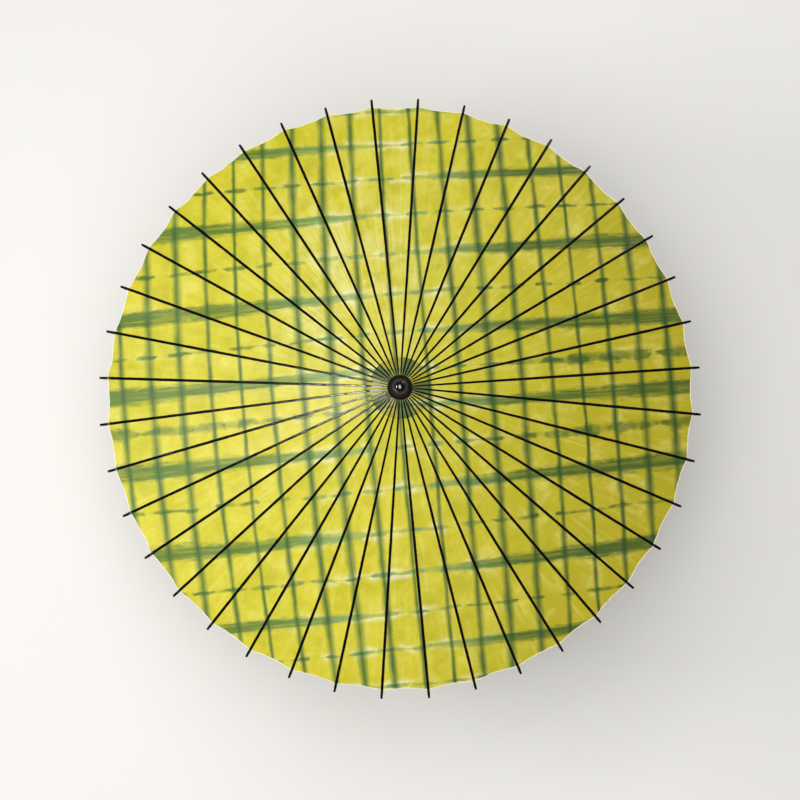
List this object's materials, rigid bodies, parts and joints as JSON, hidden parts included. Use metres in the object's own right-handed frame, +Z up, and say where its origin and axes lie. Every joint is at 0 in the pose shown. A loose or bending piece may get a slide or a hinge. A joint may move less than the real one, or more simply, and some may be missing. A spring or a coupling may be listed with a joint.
{
  "type": "oil paper umbrella",
  "caption": "Open oil paper umbrella: dyed paper on lacquered bamboo ribs, with struts, a sliding runner, a spring catch and a wound handle.",
  "frame": {"origin": "centre of the flat bottom end of the handle", "axes": "+Z up along the shaft to the finial; +X towards the side that carries the spring catch; the paper's dye stripes run along Y"},
  "size_m": [0.9344, 0.9344, 0.774],
  "materials": {
    "oiled_paper": "satin",
    "dyed_bamboo": "gloss",
    "black_lacquer": "gloss",
    "honey_bamboo": "satin",
    "hub_wood": "satin",
    "thread": "matte",
    "dyed_thread": "satin",
    "rattan": "satin"
  },
  "bodies": {
    "root": {"shaft": "black_lacquer", "top_hub": "hub_wood", "finial": "black_lacquer", "hub_thread": "dyed_thread", "hub_pin": "honey_bamboo", "catch_pin": "honey_bamboo", "canopy": "oiled_paper", "centre_disc": "oiled_paper", "rim_thread": "thread", "grip": "rattan", "grip_collar": "black_lacquer", "end_cap": "black_lacquer"},
    "runner": {"runner": "hub_wood", "strut_crown": "honey_bamboo"},
    "catch": {"catch_leaf": "honey_bamboo"},
    "rib_01": {"rib_01": "dyed_bamboo"},
    "rib_02": {"rib_02": "dyed_bamboo"},
    "rib_03": {"rib_03": "dyed_bamboo"},
    "rib_04": {"rib_04": "dyed_bamboo"},
    "rib_05": {"rib_05": "dyed_bamboo"},
    "rib_06": {"rib_06": "dyed_bamboo"},
    "rib_07": {"rib_07": "dyed_bamboo"},
    "rib_08": {"rib_08": "dyed_bamboo"},
    "rib_09": {"rib_09": "dyed_bamboo"},
    "rib_10": {"rib_10": "dyed_bamboo"},
    "rib_11": {"rib_11": "dyed_bamboo"},
    "rib_12": {"rib_12": "dyed_bamboo"},
    "rib_13": {"rib_13": "dyed_bamboo"},
    "rib_14": {"rib_14": "dyed_bamboo"},
    "rib_15": {"rib_15": "dyed_bamboo"},
    "rib_16": {"rib_16": "dyed_bamboo"},
    "rib_17": {"rib_17": "dyed_bamboo"},
    "rib_18": {"rib_18": "dyed_bamboo"},
    "rib_19": {"rib_19": "dyed_bamboo"},
    "rib_20": {"rib_20": "dyed_bamboo"},
    "rib_21": {"rib_21": "dyed_bamboo"},
    "rib_22": {"rib_22": "dyed_bamboo"},
    "rib_23": {"rib_23": "dyed_bamboo"},
    "rib_24": {"rib_24": "dyed_bamboo"},
    "rib_25": {"rib_25": "dyed_bamboo"},
    "rib_26": {"rib_26": "dyed_bamboo"},
    "rib_27": {"rib_27": "dyed_bamboo"},
    "rib_28": {"rib_28": "dyed_bamboo"},
    "rib_29": {"rib_29": "dyed_bamboo"},
    "rib_30": {"rib_30": "dyed_bamboo"},
    "rib_31": {"rib_31": "dyed_bamboo"},
    "rib_32": {"rib_32": "dyed_bamboo"},
    "rib_33": {"rib_33": "dyed_bamboo"},
    "rib_34": {"rib_34": "dyed_bamboo"},
    "rib_35": {"rib_35": "dyed_bamboo"},
    "rib_36": {"rib_36": "dyed_bamboo"},
    "rib_37": {"rib_37": "dyed_bamboo"},
    "rib_38": {"rib_38": "dyed_bamboo"},
    "rib_39": {"rib_39": "dyed_bamboo"},
    "rib_40": {"rib_40": "dyed_bamboo"}
  },
  "joints": [
    {"name": "runner_slide", "type": "slide", "parent": "root", "child": "runner", "axis": [0, 0, -1], "range_m": [0, 0.2126], "deforming": ["strut_crown", "canopy", "centre_disc", "rim_thread", "catch_leaf"]},
    {"name": "catch_press", "type": "hinge", "parent": "root", "child": "catch", "pos_m": [0.003, 0, 0.46953], "axis": [0, -1, 0], "range_deg": [0, 5.6], "stiffness_Nm_per_rad": 0.6},
    {"name": "rib_01_hinge", "type": "hinge", "parent": "root", "child": "rib_01", "pos_m": [0.01834, 0.00144, 0.752], "axis": [-0.0785, 0.9969, 0], "range_deg": [0, 65.4]},
    {"name": "rib_02_hinge", "type": "hinge", "parent": "root", "child": "rib_02", "pos_m": [0.01789, 0.0043, 0.752], "axis": [-0.2334, 0.9724, 0], "range_deg": [0, 65.4]},
    {"name": "rib_03_hinge", "type": "hinge", "parent": "root", "child": "rib_03", "pos_m": [0.017, 0.00704, 0.752], "axis": [-0.3827, 0.9239, 0], "range_deg": [0, 65.4]},
    {"name": "rib_04_hinge", "type": "hinge", "parent": "root", "child": "rib_04", "pos_m": [0.01569, 0.00961, 0.752], "axis": [-0.5225, 0.8526, 0], "range_deg": [0, 65.4]},
    {"name": "rib_05_hinge", "type": "hinge", "parent": "root", "child": "rib_05", "pos_m": [0.01399, 0.01195, 0.752], "axis": [-0.6494, 0.7604, 0], "range_deg": [0, 65.4]},
    {"name": "rib_06_hinge", "type": "hinge", "parent": "root", "child": "rib_06", "pos_m": [0.01195, 0.01399, 0.752], "axis": [-0.7604, 0.6494, 0], "range_deg": [0, 65.4]},
    {"name": "rib_07_hinge", "type": "hinge", "parent": "root", "child": "rib_07", "pos_m": [0.00961, 0.01569, 0.752], "axis": [-0.8526, 0.5225, 0], "range_deg": [0, 65.4]},
    {"name": "rib_08_hinge", "type": "hinge", "parent": "root", "child": "rib_08", "pos_m": [0.00704, 0.017, 0.752], "axis": [-0.9239, 0.3827, 0], "range_deg": [0, 65.4]},
    {"name": "rib_09_hinge", "type": "hinge", "parent": "root", "child": "rib_09", "pos_m": [0.0043, 0.01789, 0.752], "axis": [-0.9724, 0.2334, 0], "range_deg": [0, 65.4]},
    {"name": "rib_10_hinge", "type": "hinge", "parent": "root", "child": "rib_10", "pos_m": [0.00144, 0.01834, 0.752], "axis": [-0.9969, 0.0785, 0], "range_deg": [0, 65.4]},
    {"name": "rib_11_hinge", "type": "hinge", "parent": "root", "child": "rib_11", "pos_m": [-0.00144, 0.01834, 0.752], "axis": [-0.9969, -0.0785, 0], "range_deg": [0, 65.4]},
    {"name": "rib_12_hinge", "type": "hinge", "parent": "root", "child": "rib_12", "pos_m": [-0.0043, 0.01789, 0.752], "axis": [-0.9724, -0.2334, 0], "range_deg": [0, 65.4]},
    {"name": "rib_13_hinge", "type": "hinge", "parent": "root", "child": "rib_13", "pos_m": [-0.00704, 0.017, 0.752], "axis": [-0.9239, -0.3827, 0], "range_deg": [0, 65.4]},
    {"name": "rib_14_hinge", "type": "hinge", "parent": "root", "child": "rib_14", "pos_m": [-0.00961, 0.01569, 0.752], "axis": [-0.8526, -0.5225, 0], "range_deg": [0, 65.4]},
    {"name": "rib_15_hinge", "type": "hinge", "parent": "root", "child": "rib_15", "pos_m": [-0.01195, 0.01399, 0.752], "axis": [-0.7604, -0.6494, 0], "range_deg": [0, 65.4]},
    {"name": "rib_16_hinge", "type": "hinge", "parent": "root", "child": "rib_16", "pos_m": [-0.01399, 0.01195, 0.752], "axis": [-0.6494, -0.7604, 0], "range_deg": [0, 65.4]},
    {"name": "rib_17_hinge", "type": "hinge", "parent": "root", "child": "rib_17", "pos_m": [-0.01569, 0.00961, 0.752], "axis": [-0.5225, -0.8526, 0], "range_deg": [0, 65.4]},
    {"name": "rib_18_hinge", "type": "hinge", "parent": "root", "child": "rib_18", "pos_m": [-0.017, 0.00704, 0.752], "axis": [-0.3827, -0.9239, 0], "range_deg": [0, 65.4]},
    {"name": "rib_19_hinge", "type": "hinge", "parent": "root", "child": "rib_19", "pos_m": [-0.01789, 0.0043, 0.752], "axis": [-0.2334, -0.9724, 0], "range_deg": [0, 65.4]},
    {"name": "rib_20_hinge", "type": "hinge", "parent": "root", "child": "rib_20", "pos_m": [-0.01834, 0.00144, 0.752], "axis": [-0.0785, -0.9969, 0], "range_deg": [0, 65.4]},
    {"name": "rib_21_hinge", "type": "hinge", "parent": "root", "child": "rib_21", "pos_m": [-0.01834, -0.00144, 0.752], "axis": [0.0785, -0.9969, 0], "range_deg": [0, 65.4]},
    {"name": "rib_22_hinge", "type": "hinge", "parent": "root", "child": "rib_22", "pos_m": [-0.01789, -0.0043, 0.752], "axis": [0.2334, -0.9724, 0], "range_deg": [0, 65.4]},
    {"name": "rib_23_hinge", "type": "hinge", "parent": "root", "child": "rib_23", "pos_m": [-0.017, -0.00704, 0.752], "axis": [0.3827, -0.9239, 0], "range_deg": [0, 65.4]},
    {"name": "rib_24_hinge", "type": "hinge", "parent": "root", "child": "rib_24", "pos_m": [-0.01569, -0.00961, 0.752], "axis": [0.5225, -0.8526, 0], "range_deg": [0, 65.4]},
    {"name": "rib_25_hinge", "type": "hinge", "parent": "root", "child": "rib_25", "pos_m": [-0.01399, -0.01195, 0.752], "axis": [0.6494, -0.7604, 0], "range_deg": [0, 65.4]},
    {"name": "rib_26_hinge", "type": "hinge", "parent": "root", "child": "rib_26", "pos_m": [-0.01195, -0.01399, 0.752], "axis": [0.7604, -0.6494, 0], "range_deg": [0, 65.4]},
    {"name": "rib_27_hinge", "type": "hinge", "parent": "root", "child": "rib_27", "pos_m": [-0.00961, -0.01569, 0.752], "axis": [0.8526, -0.5225, 0], "range_deg": [0, 65.4]},
    {"name": "rib_28_hinge", "type": "hinge", "parent": "root", "child": "rib_28", "pos_m": [-0.00704, -0.017, 0.752], "axis": [0.9239, -0.3827, 0], "range_deg": [0, 65.4]},
    {"name": "rib_29_hinge", "type": "hinge", "parent": "root", "child": "rib_29", "pos_m": [-0.0043, -0.01789, 0.752], "axis": [0.9724, -0.2334, 0], "range_deg": [0, 65.4]},
    {"name": "rib_30_hinge", "type": "hinge", "parent": "root", "child": "rib_30", "pos_m": [-0.00144, -0.01834, 0.752], "axis": [0.9969, -0.0785, 0], "range_deg": [0, 65.4]},
    {"name": "rib_31_hinge", "type": "hinge", "parent": "root", "child": "rib_31", "pos_m": [0.00144, -0.01834, 0.752], "axis": [0.9969, 0.0785, 0], "range_deg": [0, 65.4]},
    {"name": "rib_32_hinge", "type": "hinge", "parent": "root", "child": "rib_32", "pos_m": [0.0043, -0.01789, 0.752], "axis": [0.9724, 0.2334, 0], "range_deg": [0, 65.4]},
    {"name": "rib_33_hinge", "type": "hinge", "parent": "root", "child": "rib_33", "pos_m": [0.00704, -0.017, 0.752], "axis": [0.9239, 0.3827, 0], "range_deg": [0, 65.4]},
    {"name": "rib_34_hinge", "type": "hinge", "parent": "root", "child": "rib_34", "pos_m": [0.00961, -0.01569, 0.752], "axis": [0.8526, 0.5225, 0], "range_deg": [0, 65.4]},
    {"name": "rib_35_hinge", "type": "hinge", "parent": "root", "child": "rib_35", "pos_m": [0.01195, -0.01399, 0.752], "axis": [0.7604, 0.6494, 0], "range_deg": [0, 65.4]},
    {"name": "rib_36_hinge", "type": "hinge", "parent": "root", "child": "rib_36", "pos_m": [0.01399, -0.01195, 0.752], "axis": [0.6494, 0.7604, 0], "range_deg": [0, 65.4]},
    {"name": "rib_37_hinge", "type": "hinge", "parent": "root", "child": "rib_37", "pos_m": [0.01569, -0.00961, 0.752], "axis": [0.5225, 0.8526, 0], "range_deg": [0, 65.4]},
    {"name": "rib_38_hinge", "type": "hinge", "parent": "root", "child": "rib_38", "pos_m": [0.017, -0.00704, 0.752], "axis": [0.3827, 0.9239, 0], "range_deg": [0, 65.4]},
    {"name": "rib_39_hinge", "type": "hinge", "parent": "root", "child": "rib_39", "pos_m": [0.01789, -0.0043, 0.752], "axis": [0.2334, 0.9724, 0], "range_deg": [0, 65.4]},
    {"name": "rib_40_hinge", "type": "hinge", "parent": "root", "child": "rib_40", "pos_m": [0.01834, -0.00144, 0.752], "axis": [0.0785, 0.9969, 0], "range_deg": [0, 65.4]}
  ],
  "couplings": [
    {"joint": "rib_01_hinge", "follows": "runner_slide", "rad_per_m": 5.36},
    {"joint": "rib_02_hinge", "follows": "runner_slide", "rad_per_m": 5.36},
    {"joint": "rib_03_hinge", "follows": "runner_slide", "rad_per_m": 5.36},
    {"joint": "rib_04_hinge", "follows": "runner_slide", "rad_per_m": 5.36},
    {"joint": "rib_05_hinge", "follows": "runner_slide", "rad_per_m": 5.36},
    {"joint": "rib_06_hinge", "follows": "runner_slide", "rad_per_m": 5.36},
    {"joint": "rib_07_hinge", "follows": "runner_slide", "rad_per_m": 5.36},
    {"joint": "rib_08_hinge", "follows": "runner_slide", "rad_per_m": 5.36},
    {"joint": "rib_09_hinge", "follows": "runner_slide", "rad_per_m": 5.36},
    {"joint": "rib_10_hinge", "follows": "runner_slide", "rad_per_m": 5.36},
    {"joint": "rib_11_hinge", "follows": "runner_slide", "rad_per_m": 5.36},
    {"joint": "rib_12_hinge", "follows": "runner_slide", "rad_per_m": 5.36},
    {"joint": "rib_13_hinge", "follows": "runner_slide", "rad_per_m": 5.36},
    {"joint": "rib_14_hinge", "follows": "runner_slide", "rad_per_m": 5.36},
    {"joint": "rib_15_hinge", "follows": "runner_slide", "rad_per_m": 5.36},
    {"joint": "rib_16_hinge", "follows": "runner_slide", "rad_per_m": 5.36},
    {"joint": "rib_17_hinge", "follows": "runner_slide", "rad_per_m": 5.36},
    {"joint": "rib_18_hinge", "follows": "runner_slide", "rad_per_m": 5.36},
    {"joint": "rib_19_hinge", "follows": "runner_slide", "rad_per_m": 5.36},
    {"joint": "rib_20_hinge", "follows": "runner_slide", "rad_per_m": 5.36},
    {"joint": "rib_21_hinge", "follows": "runner_slide", "rad_per_m": 5.36},
    {"joint": "rib_22_hinge", "follows": "runner_slide", "rad_per_m": 5.36},
    {"joint": "rib_23_hinge", "follows": "runner_slide", "rad_per_m": 5.36},
    {"joint": "rib_24_hinge", "follows": "runner_slide", "rad_per_m": 5.36},
    {"joint": "rib_25_hinge", "follows": "runner_slide", "rad_per_m": 5.36},
    {"joint": "rib_26_hinge", "follows": "runner_slide", "rad_per_m": 5.36},
    {"joint": "rib_27_hinge", "follows": "runner_slide", "rad_per_m": 5.36},
    {"joint": "rib_28_hinge", "follows": "runner_slide", "rad_per_m": 5.36},
    {"joint": "rib_29_hinge", "follows": "runner_slide", "rad_per_m": 5.36},
    {"joint": "rib_30_hinge", "follows": "runner_slide", "rad_per_m": 5.36},
    {"joint": "rib_31_hinge", "follows": "runner_slide", "rad_per_m": 5.36},
    {"joint": "rib_32_hinge", "follows": "runner_slide", "rad_per_m": 5.36},
    {"joint": "rib_33_hinge", "follows": "runner_slide", "rad_per_m": 5.36},
    {"joint": "rib_34_hinge", "follows": "runner_slide", "rad_per_m": 5.36},
    {"joint": "rib_35_hinge", "follows": "runner_slide", "rad_per_m": 5.36},
    {"joint": "rib_36_hinge", "follows": "runner_slide", "rad_per_m": 5.36},
    {"joint": "rib_37_hinge", "follows": "runner_slide", "rad_per_m": 5.36},
    {"joint": "rib_38_hinge", "follows": "runner_slide", "rad_per_m": 5.36},
    {"joint": "rib_39_hinge", "follows": "runner_slide", "rad_per_m": 5.36},
    {"joint": "rib_40_hinge", "follows": "runner_slide", "rad_per_m": 5.36}
  ]
}
